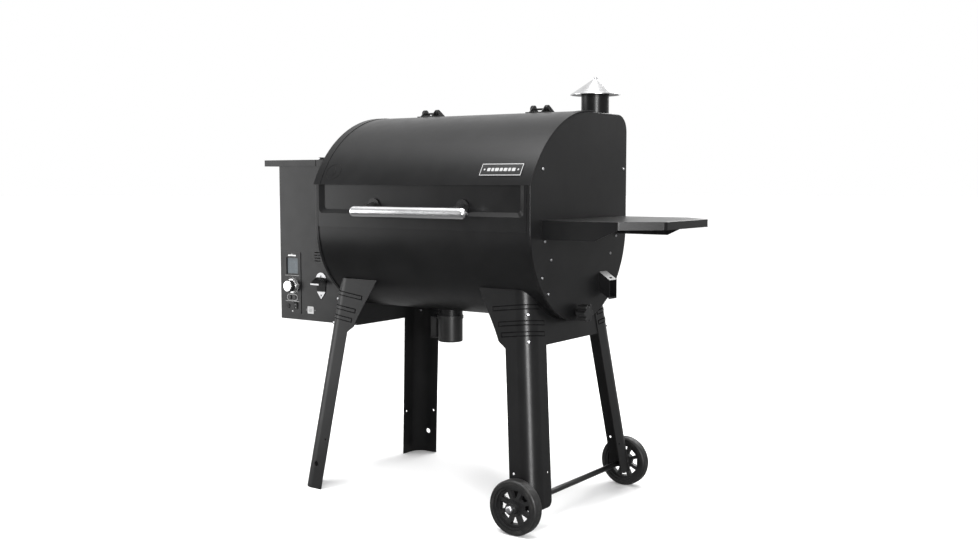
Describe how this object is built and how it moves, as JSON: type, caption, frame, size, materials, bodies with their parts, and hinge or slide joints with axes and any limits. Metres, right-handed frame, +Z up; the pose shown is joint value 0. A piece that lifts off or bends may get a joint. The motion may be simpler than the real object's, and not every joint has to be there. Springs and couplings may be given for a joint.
{
  "type": "pellet smoker grill",
  "caption": "Barrel pellet smoker grill on splayed legs and a wheeled axle, with a side pellet hopper and control panel, a hinged lid, a folded shelf, a chimney and an ash cup.",
  "frame": {"origin": "middle of the whole grill's footprint box, on the ground", "axes": "+Z up, -Y the front where the handle is, +X towards the side shelf and -X towards the pellet hopper"},
  "size_m": [1.477, 0.672, 1.222],
  "materials": {
    "black_powder_coat": "satin powder coat",
    "lid_powder_coat": "satin powder coat",
    "black_hardware": "semi-gloss black paint",
    "stainless": "brushed",
    "polished_steel": "polished",
    "zinc": "zinc plated",
    "ash_cup_coat": "satin",
    "black_plastic": "fine grain",
    "tyre_rubber": "matt",
    "knob_silver": "satin",
    "display_glass": "clear over grey display",
    "label_white": "plain",
    "board_green": "solder mask",
    "motor_grey": "plain",
    "cast_pot": "rough",
    "cooking_steel": "enamel",
    "grate_enamel": "porcelain enamel"
  },
  "bodies": {
    "base": {"barrel_shell": "black_powder_coat", "end_plate_left": "black_powder_coat", "end_plate_right": "black_powder_coat", "leg_front_left": "black_powder_coat", "leg_rear_left": "black_powder_coat", "leg_front_right": "black_powder_coat", "leg_rear_right": "black_powder_coat", "side_braces": "black_powder_coat", "side_shelf": "black_powder_coat", "hopper_body": "black_powder_coat", "hopper_top_plate": "black_powder_coat", "chimney_pipe": "black_powder_coat", "grease_spout": "black_powder_coat", "control_panel": "black_powder_coat", "hinge_leaves_fixed": "black_hardware", "hinge_pins": "black_hardware", "fan_housing": "black_hardware", "wheel_axle": "black_hardware", "bottle_opener": "polished_steel", "leg_bolts": "zinc", "body_screws": "zinc", "axle_nuts": "zinc", "hopper_hinge_pin": "zinc", "temperature_probe": "zinc", "igniter_rod": "zinc", "auger_tube": "zinc", "hopper_funnel": "zinc", "hopper_grille": "zinc", "power_inlet": "black_plastic", "probe_jack": "black_plastic", "display_screen": "display_glass", "label_plate": "label_white", "control_board": "board_green", "auger_motor": "motor_grey", "fire_pot": "cast_pot", "heat_diffuser": "cooking_steel", "drip_tray": "cooking_steel", "cooking_grates": "grate_enamel", "warming_rack": "grate_enamel"},
    "lid": {"lid": "lid_powder_coat", "lid_handle_bar": "stainless", "lid_handle_standoffs": "black_hardware", "badge_plate": "black_hardware", "hinge_leaves_lid": "black_hardware"},
    "hopper_lid": {"hopper_lid": "black_powder_coat"},
    "wheel_front": {"wheel_hub_front": "black_plastic", "tyre_front": "tyre_rubber"},
    "wheel_rear": {"wheel_hub_rear": "black_plastic", "tyre_rear": "tyre_rubber"},
    "chimney_cap": {"chimney_cap": "polished_steel", "chimney_stem": "zinc"},
    "control_knob": {"control_knob": "knob_silver"},
    "button_left": {"button_left": "black_plastic"},
    "button_right": {"button_right": "black_plastic"},
    "rocker_switch": {"rocker_switch": "black_plastic"},
    "ash_gate": {"ash_gate": "zinc", "ash_gate_knob": "black_plastic"},
    "ash_cup": {"ash_cup": "ash_cup_coat"},
    "auger_screw": {"auger_screw": "zinc"},
    "fan_impeller": {"fan_impeller": "black_plastic"}
  },
  "joints": [
    {"name": "lid_hinge", "type": "hinge", "parent": "base", "child": "lid", "pos_m": [0.0385, 0.07, 1.131], "axis": [-1, 0, 0], "range_deg": [0, 85]},
    {"name": "hopper_lid_hinge", "type": "hinge", "parent": "base", "child": "hopper_lid", "pos_m": [-0.5075, 0.085, 0.995], "axis": [0, 1, 0], "range_deg": [0, 100]},
    {"name": "wheel_front_spin", "type": "hinge", "parent": "base", "child": "wheel_front", "pos_m": [0.4025, -0.3, 0.074], "axis": [0, 1, 0], "continuous": true},
    {"name": "wheel_rear_spin", "type": "hinge", "parent": "base", "child": "wheel_rear", "pos_m": [0.4025, 0.3, 0.074], "axis": [0, 1, 0], "continuous": true},
    {"name": "chimney_cap_height", "type": "slide", "parent": "base", "child": "chimney_cap", "axis": [0, 0, 1], "range_m": [0, 0.025]},
    {"name": "control_knob_turn", "type": "hinge", "parent": "base", "child": "control_knob", "pos_m": [-0.6195, -0.09, 0.583], "axis": [0, 1, 0], "range_deg": [0, 270]},
    {"name": "button_left_press", "type": "slide", "parent": "base", "child": "button_left", "axis": [0, 1, 0], "range_m": [0, 0.002], "stiffness_N_per_m": 400},
    {"name": "button_right_press", "type": "slide", "parent": "base", "child": "button_right", "axis": [0, 1, 0], "range_m": [0, 0.002], "stiffness_N_per_m": 400},
    {"name": "rocker_switch_tilt", "type": "hinge", "parent": "base", "child": "rocker_switch", "pos_m": [-0.6055, -0.079, 0.518], "axis": [1, 0, 0], "range_deg": [0, 16]},
    {"name": "ash_gate_pull", "type": "slide", "parent": "base", "child": "ash_gate", "axis": [1, 0, 0], "range_m": [0, 0.078]},
    {"name": "ash_cup_drop", "type": "slide", "parent": "base", "child": "ash_cup", "axis": [0, 0, -1], "range_m": [0, 0.08]},
    {"name": "auger_spin", "type": "hinge", "parent": "base", "child": "auger_screw", "pos_m": [-0.3615, 0, 0.592], "axis": [1, 0, 0], "continuous": true},
    {"name": "fan_spin", "type": "hinge", "parent": "base", "child": "fan_impeller", "pos_m": [-0.3565, 0.115, 0.65], "axis": [1, 0, 0], "continuous": true}
  ]
}
